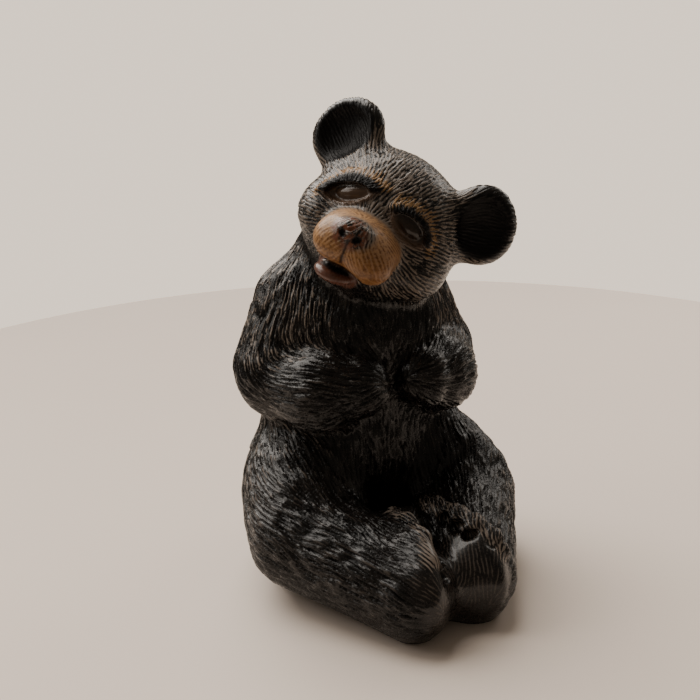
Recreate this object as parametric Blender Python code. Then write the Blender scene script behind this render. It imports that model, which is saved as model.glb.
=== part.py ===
"""A glazed ceramic figurine of a bear cub, seated with its paws on its chest and its head to one side.

The figure is one slip-cast piece. Its pose, its proportions and its carving are shares of its own
height: one share is a 200th of the height, so at the true size one share is one millimetre. The cub
faces -Y, its left is +X, and the middle of its underside's box lies at the origin. It is built as a
modeller works: masses of clay are laid together, the soft form is drawn over them, hollows are cut,
and the locks of fur are carved along the lie of the coat.
"""

import math
from dataclasses import dataclass

import bmesh
import bpy
import numpy as np
from mathutils import Euler, Matrix, Vector

# Height of the whole figure, in metres
FIGURE_HEIGHT = 0.200

# Trunk, in shares of the height
HIP_WIDTH = 94.0
TRUNK_WIDTH = 84.0
CHEST_WIDTH = 80.0
NECK_WIDTH = 57.0

# Arms and legs, in shares
UPPER_ARM_WIDTH = 34.0
FOREARM_WIDTH = 34.0
PAW_WIDTH = 26.0
THIGH_WIDTH = 50.0
KNEE_WIDTH = 48.0
ANKLE_WIDTH = 33.0
SOLE_WIDTH = 19.0
TOE_WIDTH = 7.7
CUFF_WIDTH = 6.0

# Head, in shares
SKULL_WIDTH = 63.0
CHEEK_WIDTH = 67.0
MUZZLE_WIDTH = 33.0
NOSE_WIDTH = 15.0
NOSTRIL_WIDTH = 3.0
MOUTH_WIDTH = 22.0
LIP_WIDTH = 16.0
RIGHT_EYE_WIDTH, RIGHT_EYE_HEIGHT, RIGHT_LASH_WIDTH = 18.4, 7.4, 4.0
LEFT_EYE_WIDTH, LEFT_EYE_HEIGHT, LEFT_LASH_WIDTH = 16.4, 8.4, 2.3
LID_RISE = 2.0
EAR_WIDTH = 33.0
EAR_HOLLOW_WIDTH = 27.0

# How the head is held, in shares and degrees: it turns to the cub's right and leans to its left
HEAD_PLACE = (6.0, -24.0, 156.0)
HEAD_WAY = (-39.5, -2.0, 34.0)
RIGHT_EYE_PLACE, RIGHT_EYE_WAY = (15.6, -19.2, 1.2), (24.0, 0.0, 33.0)
LEFT_EYE_PLACE, LEFT_EYE_WAY = (12.4, -20.6, 3.0), (24.0, 0.0, 15.0)
EAR_WAY = (15.0, 0.0, 62.0)

# Joints of the cub's left arm and of both legs, in shares
SHOULDER, ELBOW = (28, 3, 118), (37.5, 0, 92)
BEND, WRIST, PAW = (37.5, -2, 88), (27, -24, 86), (15, -33, 88)
LEFT_KNEE, LEFT_ANKLE, LEFT_SOLE = (39, -26, 28), (15, -74, 16.5), (12.5, -66, 21.5)
RIGHT_KNEE, RIGHT_ANKLE, RIGHT_SOLE = (39, -28, 26), (16, -78.5, 17.5), (12.5, -69, 23)
HIP = (32.5, -8, 36)

# Locks of fur, in shares
LOCK_PITCH = 7.0
LOCK_LENGTH = 30.0
LOCK_DEPTH = 1.6
BARE_RIM = 8.0

# Spacing of the drawn mesh in shares, and the triangles left in the solid
MESH_SPACING = 1.3
TRIANGLES = 9400

BOTH, LEFT, RIGHT = 0, 1, -1


def turn(yaw, nod, tilt):
    """The rotation that tilts about Y, then nods about X, then yaws about Z."""
    return Euler((math.radians(nod), math.radians(tilt), math.radians(yaw)), "YXZ").to_matrix()


def length(vectors):
    return np.linalg.norm(vectors, axis=1)


def direction(start, end):
    return np.array((Vector(end) - Vector(start)).normalized())


def mirrored(points):
    """The points with both sides folded onto +X."""
    return np.concatenate([np.abs(points[:, :1]), points[:, 1:]], 1)


def rise(values, low, high):
    """A smooth step from 0 at low to 1 at high, or the other way round where high is below low."""
    share = np.clip((values - low) / (high - low), 0, 1)
    return share * share * (3 - 2 * share)


@dataclass(frozen=True)
class Mass:
    """A lump of clay, or a hollow: an ellipsoid, or a limb from its place to its end."""

    place: tuple
    radii: tuple
    blend: float
    end: tuple = ()
    way: tuple = (0.0, 0.0, 0.0)
    side: int = LEFT
    hollow: bool = False

    def distance(self, points):
        """Distance from points to the surface, negative inside."""
        points = mirrored(points) if self.side == BOTH else points * (self.side, 1, 1)
        offset = points - np.array(self.place)
        radii = np.array(self.radii)
        if self.end:
            along = np.array(self.end) - np.array(self.place)
            share = np.clip(offset @ along / (along @ along), 0, 1)
            return length(offset - share[:, None] * along) - (radii[0] + (radii[1] - radii[0]) * share)
        offset = offset @ np.array(turn(*self.way)) / radii
        size = length(offset)
        return size * (size - 1.0) / (length(offset / radii) + 1e-6)

    def balls(self):
        """Matrices that turn a ball of radius 1 into this mass."""
        start, end = Vector(self.place), Vector(self.end or self.place)
        steps = 6 if self.end else 0
        for flip in (1, -1) if self.side == BOTH else (self.side,):
            for step in range(steps + 1):
                share = step / max(steps, 1)
                first, last = self.radii[0], self.radii[-1]
                radii = (first + (last - first) * share,) * 3 if self.end else self.radii
                ball = Matrix.Translation(start.lerp(end, share)) @ turn(*self.way).to_4x4()
                yield Matrix.Scale(flip, 4, (1, 0, 0)) @ ball @ Matrix.Diagonal((*radii, 1))


def join(a, b, blend):
    """Union of two distances with a soft joint as wide as blend."""
    near = np.maximum(blend - np.abs(a - b), 0) / blend
    return np.minimum(a, b) - near * near * blend * 0.25


def sculpt(points, masses, distance=None):
    """Distance to the masses, joined or cut out in turn."""
    for mass in masses:
        other = mass.distance(points)
        if distance is None:
            distance = other
        elif mass.hollow:
            distance = -join(-distance, other, mass.blend)
        else:
            distance = join(distance, other, mass.blend)
    return distance


def chain(places, radius, blend, side, hollow=False):
    """Limbs of one thickness through a row of places."""
    return [
        Mass(start, (radius, radius), blend, end=end, side=side, hollow=hollow)
        for start, end in zip(places[:-1], places[1:])
    ]


def trunk():
    """Hips, seat, lap, belly, chest and neck."""
    return [
        Mass((0, 8, 36), (HIP_WIDTH / 2, 38, 38), 1),
        Mass((0, 8, 10), (HIP_WIDTH * 0.43, 33, 17), 8),
        Mass((0, -44, 3), (15, 32, 12), 8),
        Mass((0, 3, 68), (TRUNK_WIDTH / 2, 33, 42), 14),
        Mass((0, 0, 106), (CHEST_WIDTH / 2, 35, 34), 14),
        Mass((0, 2, 122), (NECK_WIDTH / 2 + 1.5, NECK_WIDTH / 2 - 1.5), 12, end=(2, -8, 142)),
    ]


def arms():
    """Upper arms, forearms and paws."""
    upper, fore = UPPER_ARM_WIDTH / 2, FOREARM_WIDTH / 2
    return [
        Mass(SHOULDER, (upper - 1, upper + 1), 10, end=ELBOW, side=BOTH),
        Mass(BEND, (fore, fore), 5, end=WRIST, side=BOTH),
        Mass(WRIST, (fore, PAW_WIDTH / 2), 3, end=PAW, side=BOTH),
    ]


def leg(side, knee, ankle, sole, cuff, toes):
    """Thigh, shin, seat and foot of one side, with the sole's toes under a cuff of fur."""
    shin, heel = KNEE_WIDTH / 2 - 0.5, ANKLE_WIDTH / 2
    toe = TOE_WIDTH / 2
    crease = ((4.0, -66, 29.5), (5.5, -79, 27.0), (9.5, -80.5, 30.0))
    return [
        Mass(HIP, (THIGH_WIDTH / 2, 32, 30), 10, way=(14, 16, 0), side=side),
        Mass(knee, (shin, heel), 10, end=ankle, side=side),
        Mass((33, -14, shin - 10.5), (shin - 4.5, 12), 6, end=(14, -76, 9), side=side),
        Mass(sole, (SOLE_WIDTH / 2, 28, 17.5), 4, way=(7, 12, 0), side=side),
        *chain(cuff, CUFF_WIDTH / 2, 3, side),
        *[Mass(place, (toe, toe * 0.85, toe * 0.7), 1.6, side=side, hollow=True) for place in toes],
        *chain(crease, 1.0, 1.2, side, hollow=True),
    ]


def legs():
    left_cuff = ((10, -38, 33), (10, -52, 37.5), (13, -64, 38.5), (17, -72, 36.5), (20.5, -79, 33), (22, -83, 29))
    left_toes = ((8.5, -62, 36), (9.5, -69.5, 35.5), (12.5, -75.5, 33.5), (15.5, -81, 30.5))
    right_cuff = ((9, -50, 37), (8.5, -62, 38.5), (9, -74, 37), (11, -84, 33))
    right_toes = ((3.5, -66, 32), (3.5, -73, 31.5), (5, -80, 29.5), (8, -87, 27))
    return [
        *leg(RIGHT, RIGHT_KNEE, RIGHT_ANKLE, RIGHT_SOLE, right_cuff, right_toes),
        *leg(LEFT, LEFT_KNEE, LEFT_ANKLE, LEFT_SOLE, left_cuff, left_toes),
    ]


@dataclass(frozen=True)
class Eye:
    """A half-closed eye: its ball in a socket, under a heavy band of lashes as wide as lash."""

    side: int
    place: tuple
    way: tuple
    width: float
    height: float
    lash: float

    def masses(self):
        """Socket and ball, set in from the middle of the opening."""
        across, up = self.width / 2, self.height / 2
        inward = np.array(turn(*self.way))[:, 1]
        socket, ball = (tuple(np.array(self.place) + inward * depth) for depth in (-2.0, 4.4))
        return [
            Mass(socket, (across + 1.2, 4.2, up + 1.4), 1.5, way=self.way, side=self.side, hollow=True),
            Mass(ball, (across, 5.0, up), 0.8, way=self.way, side=self.side),
        ]

    def chart(self, face):
        """Upward share of the opening, distance out from its rim, and 1 in front of it, in the head's frame."""
        offset = (face * (self.side, 1, 1) - np.array(self.place)) @ np.array(turn(*self.way))
        across, up = offset[:, 0] * 2 / self.width, offset[:, 2] * 2 / self.height
        ring = np.hypot(across, up)
        out = (ring - 1) * np.hypot(offset[:, 0], offset[:, 2]) / (ring + 1e-6)
        return up, out, rise(offset[:, 1], 9.0, 5.0) * rise(face[:, 0] * self.side, 0.0, 1.5)

    def lid(self, face):
        """Rise of the band of lashes and of the lower lid's rim."""
        up, out, front = self.chart(face)
        upper = rise(out, -1.4, 0.3) * rise(out, self.lash + 3.5, self.lash * 0.5) * rise(up, -0.35, 0.35)
        lower = np.exp(-(((out - 0.7) / 0.9) ** 2)) * rise(up, 0.2, -0.4)
        return (upper + 0.3 * lower) * LID_RISE * front


EYES = (
    Eye(RIGHT, RIGHT_EYE_PLACE, RIGHT_EYE_WAY, RIGHT_EYE_WIDTH, RIGHT_EYE_HEIGHT, RIGHT_LASH_WIDTH),
    Eye(LEFT, LEFT_EYE_PLACE, LEFT_EYE_WAY, LEFT_EYE_WIDTH, LEFT_EYE_HEIGHT, LEFT_LASH_WIDTH),
)


def skull():
    """Cranium, cheeks and jaw, in the head's frame."""
    return [
        Mass((0, 5, -2), (SKULL_WIDTH / 2, 28, 26), 1),
        Mass((CHEEK_WIDTH / 2 - 14.5, -4, -13), (14.5, 17, 13), 8, side=BOTH),
        Mass((0, -12, -22), (17, 16, 12), 8),
    ]


def snout():
    """The muzzle with its two lobes."""
    half = MUZZLE_WIDTH / 2
    return [
        Mass((-0.5, -24, -11.5), (half, 15, 11), 4, way=(0, 0, -4.5)),
        Mass((half * 0.42, -31, -14.2), (half * 0.6, 8.5, 8.2), 4, way=(0, 0, 10), side=BOTH),
    ]


def muzzle():
    """The snout with its nose, mouth, lower lip, nostrils and split lip."""
    nose, nostril = NOSE_WIDTH / 2, NOSTRIL_WIDTH / 2
    nostrils = ((-5.7, -40.6, -8.6), 30), ((0.3, -40.6, -7.9), -35)
    return [
        *snout(),
        Mass((-2.4, -35.6, -7.6), (nose, 5.5, nose * 0.72), 3, way=(0, 0, -4.5)),
        Mass((-1.5, -34, -24.0), (MOUTH_WIDTH / 2, 9, 2.8), 1.2, way=(0, -10, -8), hollow=True),
        Mass((-2.5, -26.5, -27.0), (LIP_WIDTH / 2, 9, 3.6), 1.5, way=(0, 0, -8)),
        *[Mass(at, (nostril, 1.6, nostril * 0.7), 1, way=(0, 0, tilt), hollow=True) for at, tilt in nostrils],
        *chain(((-2.2, -41.8, -10.5), (-1.5, -41.2, -14.5), (-0.9, -39.6, -20.0)), 0.8, 0.9, LEFT, hollow=True),
    ]


def ears():
    """Round ears with a thick rim round a hollow."""
    half, hollow = EAR_WIDTH / 2, EAR_HOLLOW_WIDTH / 2
    return [
        Mass((33, 6, 15.5), (half, 7.5, half * 0.86), 8, way=EAR_WAY, side=BOTH),
        Mass((35.5, -1.8, 16.5), (hollow, 7.2, hollow * 0.8), 2, way=EAR_WAY, side=BOTH, hollow=True),
    ]


BODY = trunk() + legs() + arms()
HEAD = skull() + [mass for eye in EYES for mass in eye.masses()] + muzzle() + ears()


def head_frame(points):
    """The points in the head's own frame: eye line at z = 0, face towards -Y."""
    return (points - np.array(HEAD_PLACE)) @ np.array(turn(*HEAD_WAY))


def form(points):
    """Distance from points to the surface of the bare form, which is cut off flat below."""
    face = head_frame(points)
    distance = join(sculpt(points, BODY), sculpt(face, HEAD) - sum(eye.lid(face) for eye in EYES), 6)
    return np.maximum(distance, -points[:, 2])


def slope(points):
    """The way in which the distance to the form grows."""
    reach = 0.35
    sides = np.eye(3) * reach
    return np.stack([(form(points + s) - form(points - s)) / (2 * reach) for s in sides], 1)


def vertices_of(obj, what="co"):
    found = np.empty(len(obj.data.vertices) * 3, np.float32)
    obj.data.vertices.foreach_get(what, found)
    return found.reshape(-1, 3).astype(float)


def place_vertices(obj, points):
    obj.data.vertices.foreach_set("co", points.astype(np.float32).ravel())
    obj.data.update()


def apply(obj, kind, **settings):
    """One modifier of a kind, applied with its settings."""
    modifier = obj.modifiers.new(kind.lower(), kind)
    for name, value in settings.items():
        setattr(modifier, name, value)
    bpy.context.view_layer.objects.active = obj
    bpy.ops.object.modifier_apply(modifier=modifier.name)


def lay_masses():
    """A rough figure of balls, fused."""
    bm = bmesh.new()
    bmesh.ops.create_uvsphere(bm, u_segments=24, v_segments=16, radius=1)
    corners = np.array([(*v.co, 1) for v in bm.verts])
    faces = [[v.index for v in face.verts] for face in bm.faces]
    bm.free()
    head = Matrix.Translation(HEAD_PLACE) @ turn(*HEAD_WAY).to_4x4()
    balls = [ball for mass in BODY if not mass.hollow for ball in mass.balls()]
    balls += [head @ ball for mass in HEAD if not mass.hollow for ball in mass.balls()]
    points, polygons = [], []
    for ball in balls:
        first = len(points)
        points += (corners @ np.array(ball).T)[:, :3].tolist()
        turned = -1 if ball.determinant() < 0 else 1
        polygons += [[first + i for i in face[::turned]] for face in faces]
    mesh = bpy.data.meshes.new("bear_cub")
    mesh.from_pydata(points, [], polygons)
    obj = bpy.data.objects.new("bear_cub", mesh)
    bpy.context.scene.collection.objects.link(obj)
    apply(obj, "REMESH", mode="VOXEL", voxel_size=MESH_SPACING)
    return obj


def sink(obj):
    """Press each vertex straight in until it meets the form, so that the hollows open."""
    points, normals = vertices_of(obj), vertices_of(obj, "normal")
    for _ in range(14):
        points -= normals * (0.8 * form(points))[:, None]
    place_vertices(obj, points)
    apply(obj, "REMESH", mode="VOXEL", voxel_size=MESH_SPACING)


def settle(obj):
    """Move each vertex the shortest way onto the form, and return the points and outward normals."""
    points = vertices_of(obj)
    for _ in range(4):
        way = slope(points)
        points -= np.clip(form(points) / np.maximum((way * way).sum(1), 0.15), -1.5, 1.5)[:, None] * way
    way = slope(points)
    return points, way / (length(way)[:, None] + 1e-9)


def lie_of_fur(points):
    """The way the fur lies: down the trunk, along arms and legs, and back from the face."""
    folded = mirrored(points)
    unfold = np.where(points[:, :1] < 0, (-1, 1, 1), (1, 1, 1))
    face = head_frame(points)
    back = face - np.array((0, -30, -6))
    back = back / (length(back)[:, None] + 1e-6) @ np.array(turn(*HEAD_WAY)).T
    upper, fore, paw = arms()
    thigh = Mass(HIP, (25, 32, 30), 1)
    shin = Mass(LEFT_KNEE, (24, 16), 1, end=LEFT_ANKLE)
    ways = (
        (sculpt(points, trunk()), np.array((0, -0.05, -1)) + folded * 0),
        (upper.distance(points), unfold * direction(SHOULDER, ELBOW)),
        (fore.distance(points), unfold * direction(BEND, WRIST)),
        (paw.distance(points), unfold * direction(WRIST, PAW)),
        (thigh.distance(folded), unfold * direction((42, -4, 44), LEFT_KNEE)),
        (shin.distance(folded), unfold * direction(LEFT_KNEE, LEFT_ANKLE)),
        (Mass((0, 0, -2), (45, 34, 28), 1).distance(face), back),
    )
    total = sum(np.exp(-np.clip(distance, -6, 60) / 2.5)[:, None] * way for distance, way in ways)
    return total / (length(total)[:, None] + 1e-9)


def furred(points):
    """1 where the surface carries fur, 0 on the muzzle, eyes, soles, bottom rim and between the limbs."""
    face = head_frame(points)
    nose = np.where(face[:, 1] < -16, sculpt(face, snout()) - 1, 9)
    openings = [np.where(front > 0.5, out + 0.5, 9) for _, out, front in (eye.chart(face) for eye in EYES)]
    sole = Mass((8, -84, 22), (12, 20, 15), 1, side=BOTH)
    smooth = np.min([nose, *openings, sole.distance(points) * 0.8], axis=0)
    lap = (np.abs(points[:, 0]) < 5) & (points[:, 1] < -24) & (points[:, 2] < 105)
    smooth = np.where(lap, np.minimum(smooth, np.abs(points[:, 0]) - 1), smooth)
    return np.clip(smooth / 4, 0, 1) * np.clip(points[:, 2] / BARE_RIM - 0.4, 0, 1)


class Grid:
    """Values on a box of grid points, read in between by trilinear weights."""

    def __init__(self, values, origin, spacing, wraps=False):
        self.values, self.origin, self.spacing, self.wraps = values, np.array(origin), spacing, wraps

    def read(self, points):
        place = (points - self.origin) / self.spacing
        low = np.floor(place).astype(int)
        share = place - low
        shape = np.array(self.values.shape[:3])
        total = 0
        for corner in np.ndindex(2, 2, 2):
            at = (low + corner) % shape if self.wraps else np.clip(low + corner, 0, shape - 1)
            weight = np.prod(np.where(corner, share, 1 - share), axis=1)
            total = total + self.values[tuple(at.T)] * weight[:, None]
        return total


def coat():
    """The lie of the fur along the surface, on a coarse grid round the figure."""
    spacing, low, high = 4.0, (-74, -110, -10), (74, 60, 214)
    sides = [np.arange(a, b, spacing) for a, b in zip(low, high)]
    points = np.stack(np.meshgrid(*sides, indexing="ij"), -1)
    shape = points.shape
    points = points.reshape(-1, 3)
    normal = np.stack(np.gradient(form(points).reshape(shape[:3]), spacing), -1).reshape(-1, 3)
    normal /= length(normal)[:, None] + 1e-9
    way = lie_of_fur(points)
    way -= (way * normal).sum(1)[:, None] * normal
    way /= length(way)[:, None] + 0.2
    return Grid(way.reshape(shape), low, spacing)


def streaks(points, pitch, reach, seed):
    """Random values smeared along the lie of the fur, so that they form long narrow streaks."""
    rough = np.random.default_rng(seed).standard_normal((48, 48, 48, 1))
    noise, way = Grid(rough, (0, 0, 0), pitch, wraps=True), coat()
    step = pitch * 0.4
    count = max(2, round(reach / 2 / step))
    total = noise.read(points)
    for sense in (step, -step):
        place = points
        for k in range(1, count + 1):
            place = place + sense * way.read(place)
            total = total + noise.read(place) * (1 - k / (count + 1))
    return ((total - total.mean()) / total.std())[:, 0]


def carve(points, normals):
    """The points with the locks of fur cut in."""
    groove = np.exp(-((streaks(points, LOCK_PITCH, LOCK_LENGTH, 11) / 0.55) ** 2)) - 0.45
    depth = groove * LOCK_DEPTH * furred(points) * np.clip(normals[:, 2] + 1.6, 0, 1)
    return points - depth[:, None] * normals


def flatten(points, within):
    """The points with those near the underside laid on it."""
    points[:, 2] = np.where(points[:, 2] < within, 0.0, points[:, 2])
    return points


def thin_out(obj):
    """Fewer faces, with more of them left on the face than elsewhere."""
    apply(obj, "TRIANGULATE")
    face = head_frame(vertices_of(obj)) - np.array((0, -30, -10))
    weight = np.exp(-length(face) / 14)
    group = obj.vertex_groups.new(name="rest")
    for level in range(9):
        at = np.nonzero(np.round(weight * 8) == level)[0]
        group.add(at.tolist(), 1 - level / 8, "REPLACE")
    ratio = TRIANGLES / len(obj.data.polygons)
    apply(obj, "DECIMATE", ratio=ratio, vertex_group="rest", vertex_group_factor=1.2)


def glaze():
    """Black glossy glaze."""
    material = bpy.data.materials.new("black_glaze")
    material.use_nodes = True
    shader = material.node_tree.nodes["Principled BSDF"]
    shader.inputs["Base Color"].default_value = (0.03, 0.03, 0.032, 1)
    shader.inputs["Roughness"].default_value = 0.3
    shader.inputs["Coat Weight"].default_value = 0.5
    return material


def bear_cub():
    """The whole figure as one closed solid."""
    obj = lay_masses()
    sink(obj)
    points, normals = settle(obj)
    place_vertices(obj, flatten(carve(points, normals), 0.35))
    thin_out(obj)
    points = flatten(vertices_of(obj), 0.5)
    points[:, :2] -= (points[:, :2].min(axis=0) + points[:, :2].max(axis=0)) / 2
    place_vertices(obj, points * FIGURE_HEIGHT / points[:, 2].max())
    obj.data.materials.append(glaze())


def main():
    for obj in list(bpy.data.objects):
        bpy.data.objects.remove(obj)
    bear_cub()


main()
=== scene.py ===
"""A glazed ceramic figurine of a bear cub, dressed over its CAD solid.

The cub is one slip-cast piece. Its masses are laid as balls and limbs of clay, fused, pressed onto the
soft form, and carved with locks and strokes of fur along the lie of the coat. The form is worked in
shares of the figure's height, one share being a 200th of it, and is then set into the solid's box. The
finish is one dark glaze with dry-brushed tips, whose colours lie under masks painted on the vertices.
Some masks also hold painted light: grey highlights on the body's ridges, and painted shade in the
hollows of the face and ears, under the chin, between the legs and at the top of the eyeballs.
"""

import logging
import math
from collections.abc import Iterator, Sequence
from dataclasses import dataclass, field, replace
from enum import Enum
from functools import cached_property

import bpy
import numpy as np
from mathutils import Euler, Matrix, Vector
from mathutils.kdtree import KDTree


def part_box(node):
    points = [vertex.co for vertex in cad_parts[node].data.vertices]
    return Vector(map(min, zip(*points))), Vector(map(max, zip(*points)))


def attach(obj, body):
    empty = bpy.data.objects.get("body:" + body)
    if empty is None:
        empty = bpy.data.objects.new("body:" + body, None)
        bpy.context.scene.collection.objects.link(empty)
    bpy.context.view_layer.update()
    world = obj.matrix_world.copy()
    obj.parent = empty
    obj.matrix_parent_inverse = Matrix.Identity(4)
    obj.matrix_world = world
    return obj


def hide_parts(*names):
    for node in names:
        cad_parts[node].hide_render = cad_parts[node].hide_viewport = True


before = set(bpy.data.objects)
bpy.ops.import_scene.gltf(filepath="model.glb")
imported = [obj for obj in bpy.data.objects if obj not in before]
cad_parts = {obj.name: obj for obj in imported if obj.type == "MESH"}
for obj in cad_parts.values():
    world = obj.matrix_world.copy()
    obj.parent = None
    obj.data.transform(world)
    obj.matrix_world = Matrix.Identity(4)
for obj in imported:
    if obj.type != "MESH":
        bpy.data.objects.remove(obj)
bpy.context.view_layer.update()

LOG = logging.getLogger("bear_cub")

Point = tuple[float, float, float]
Array = np.ndarray
Colour = tuple[float, float, float]

NODE = "bear_cub"

# The vertex attribute that holds the way across the fur
ACROSS = "across_fur"

# Shares within which a mass can still shape the surface, and a distance beyond any mass
NEAR = 9.0
FAR = 500.0

# A room that holds every stroke: how far it reaches below zero on each axis, and its sides
ROOM_EDGE = 120.0
ROOM = (240.0, 240.0, 340.0)


class Side(Enum):
    """The side of the cub that a mass belongs to."""

    BOTH = 0
    LEFT = 1
    RIGHT = -1


class Mask(Enum):
    """Vertex attributes that tell the glaze where each finish lies, and where light and shade are painted."""

    RIDGE = "ridge"
    # grey brushed tips, and on the body partly painted highlights on the ridges
    BRUSH = "brush"
    GOLD = "gold_tips"
    TAN = "muzzle_tan"
    NOSE = "nose_leather"
    # painted shade in the hollows of the face and ears, and the black lash bands
    SOOT = "soot"
    LIP = "lip"
    EYE = "eyeball"
    LID = "eyelid"
    RUST = "muzzle_rust"
    PAD = "smooth_pad"


def turn(way: Point) -> Matrix:
    """The rotation that tilts about Y, then nods about X, then yaws about Z.

    Args:
        way: yaw, nod and tilt in degrees.

    Returns:
        A 3 by 3 rotation matrix.
    """
    yaw, nod, tilt = (math.radians(angle) for angle in way)
    return Euler((nod, tilt, yaw), "YXZ").to_matrix()


def length(vectors: Array) -> Array:
    """The length of each row."""
    return np.sqrt((vectors * vectors).sum(axis=1))


def unit(vectors: Array, soft: float = 1e-9) -> Array:
    """The rows at length 1, or shorter where a row is not much longer than soft."""
    return vectors / (length(vectors)[:, None] + soft)


def fold(points: Array, side: Side) -> Array:
    """The points with one side of the cub, or both, brought onto +X."""
    if side is Side.BOTH:
        return np.concatenate([np.abs(points[:, :1]), points[:, 1:]], 1)
    return points * (side.value, 1, 1)


def join(a: Array, b: Array, blend: float) -> Array:
    """Union of two distances with a soft joint as wide as blend."""
    near = np.maximum(blend - np.abs(a - b), 0) / blend
    return np.minimum(a, b) - near * near * blend * 0.25


def rise(values: Array, low: float, high: float) -> Array:
    """A smooth step from 0 at low to 1 at high, or the other way round where high is below low."""
    share = np.clip((values - low) / (high - low), 0, 1)
    return share * share * (3 - 2 * share)


def bell(values: Array, middle: float, width: float) -> Array:
    """1 at the middle, falling off on both sides."""
    return np.exp(-(((values - middle) / width) ** 2))


@dataclass(frozen=True)
class Mass:
    """A lump of clay, or a hollow: an ellipsoid, or a limb from its place to its end.

    Args:
        place: its centre, or the start of the limb.
        radii: the ellipsoid's three radii, or the limb's radius at its start and its end.
        blend: width of the soft joint with what came before it.
        end: the end of a limb.
        way: yaw, nod and tilt in degrees.
        side: the side or sides that it lies on.
        hollow: whether it is cut out.
    """

    place: Point
    radii: tuple[float, ...]
    blend: float
    end: tuple[float, ...] = ()
    way: Point = (0.0, 0.0, 0.0)
    side: Side = Side.LEFT
    hollow: bool = False

    @cached_property
    def frame(self) -> Array:
        """Its own axes as columns."""
        return np.array(turn(self.way))

    @cached_property
    def middle(self) -> Array:
        """The middle of the ball that holds it."""
        return (np.array(self.place, float) + np.array(self.end or self.place, float)) / 2

    @cached_property
    def reach(self) -> float:
        """Radius of the ball that holds it."""
        half = np.linalg.norm(np.array(self.end or self.place, float) - np.array(self.place, float)) / 2
        return float(half + max(self.radii) + NEAR)

    def distance(self, folded: Array) -> Array:
        """Distance from points on its own side to its surface, negative inside."""
        offset = folded - np.array(self.place)
        if self.end:
            along = np.array(self.end) - np.array(self.place)
            share = np.clip(offset @ along / (along @ along), 0, 1)
            thick = self.radii[0] + (self.radii[1] - self.radii[0]) * share
            return length(offset - share[:, None] * along) - thick
        offset = offset @ self.frame / np.array(self.radii)
        size = length(offset)
        return size * (size - 1.0) / (length(offset / np.array(self.radii)) + 1e-6)

    def to(self, points: Array) -> Array:
        """Distance from any points to its surface."""
        return self.distance(fold(points, self.side))

    def balls(self) -> Iterator[Matrix]:
        """Matrices that turn a ball of radius 1 into this mass."""
        start, end = Vector(self.place), Vector(self.end or self.place)
        steps = 6 if self.end else 0
        flips = (1, -1) if self.side is Side.BOTH else (self.side.value,)
        for flip in flips:
            for step in range(steps + 1):
                share = step / max(steps, 1)
                first, last = self.radii[0], self.radii[-1]
                radii = (first + (last - first) * share,) * 3 if self.end else self.radii
                ball = Matrix.Translation(start.lerp(end, share)) @ turn(self.way).to_4x4()
                yield Matrix.Scale(flip, 4, (1, 0, 0)) @ ball @ Matrix.Diagonal((*radii, 1))


def sculpt(points: Array, masses: Sequence[Mass], everywhere: bool = False) -> Array:
    """Distance to masses that are joined or cut out in turn.

    Args:
        points: where it is asked.
        masses: the lumps and hollows in the order in which they are laid.
        everywhere: False where only points close to the surface matter.

    Returns:
        One distance per point, which is FAR where no mass is near.
    """
    distance = np.full(len(points), FAR)
    folded = {side: fold(points, side) for side in Side}
    for mass in masses:
        own = folded[mass.side]
        if everywhere:
            at: Array | slice = slice(None)
        else:
            offset = own - mass.middle
            at = np.nonzero((offset * offset).sum(axis=1) < mass.reach**2)[0]
        other = mass.distance(own[at])
        if mass.hollow:
            distance[at] = -join(-distance[at], other, mass.blend)
        else:
            distance[at] = join(distance[at], other, mass.blend)
    return distance


def chain(places: Sequence[Point], radius: float, blend: float, side: Side, hollow: bool = False) -> list[Mass]:
    """Limbs of one thickness through a row of places."""
    return [
        Mass(start, (radius, radius), blend, end=end, side=side, hollow=hollow)
        for start, end in zip(places[:-1], places[1:])
    ]


def filled(hollows: Sequence[Mass]) -> list[Mass]:
    """The hollows as lumps."""
    return [replace(mass, hollow=False) for mass in hollows]


@dataclass(frozen=True)
class Trunk:
    """Hips, seat, lap, belly, chest and neck."""

    hip_width: float = 94.0
    belly_width: float = 84.0
    chest_width: float = 80.0
    neck_width: float = 57.0

    def masses(self) -> list[Mass]:
        """Its lumps of clay."""
        neck = self.neck_width / 2
        return [
            Mass((0, 8, 36), (self.hip_width / 2, 38, 38), 1),
            Mass((0, 8, 10), (self.hip_width * 0.43, 33, 17), 8),
            Mass((0, -44, 3), (15, 32, 12), 8),
            Mass((0, 3, 68), (self.belly_width / 2, 33, 42), 14),
            Mass((0, 0, 106), (self.chest_width / 2, 35, 34), 14),
            Mass((0, 2, 122), (neck + 1.5, neck - 1.5), 12, end=(2, -8, 142)),
        ]


@dataclass(frozen=True)
class Arms:
    """Both arms, alike, with the paws held against the chest."""

    upper_width: float = 34.0
    fore_width: float = 34.0
    paw_width: float = 26.0
    shoulder: Point = (28, 3, 118)
    elbow: Point = (37.5, 0, 92)
    bend: Point = (37.5, -2, 88)
    wrist: Point = (27, -24, 86)
    paw: Point = (15, -33, 88)

    def masses(self) -> list[Mass]:
        """Upper arms, forearms and paws."""
        upper, fore = self.upper_width / 2, self.fore_width / 2
        return [
            Mass(self.shoulder, (upper - 1, upper + 1), 10, end=self.elbow, side=Side.BOTH),
            Mass(self.bend, (fore, fore), 5, end=self.wrist, side=Side.BOTH),
            Mass(self.wrist, (fore, self.paw_width / 2), 3, end=self.paw, side=Side.BOTH),
        ]


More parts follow.
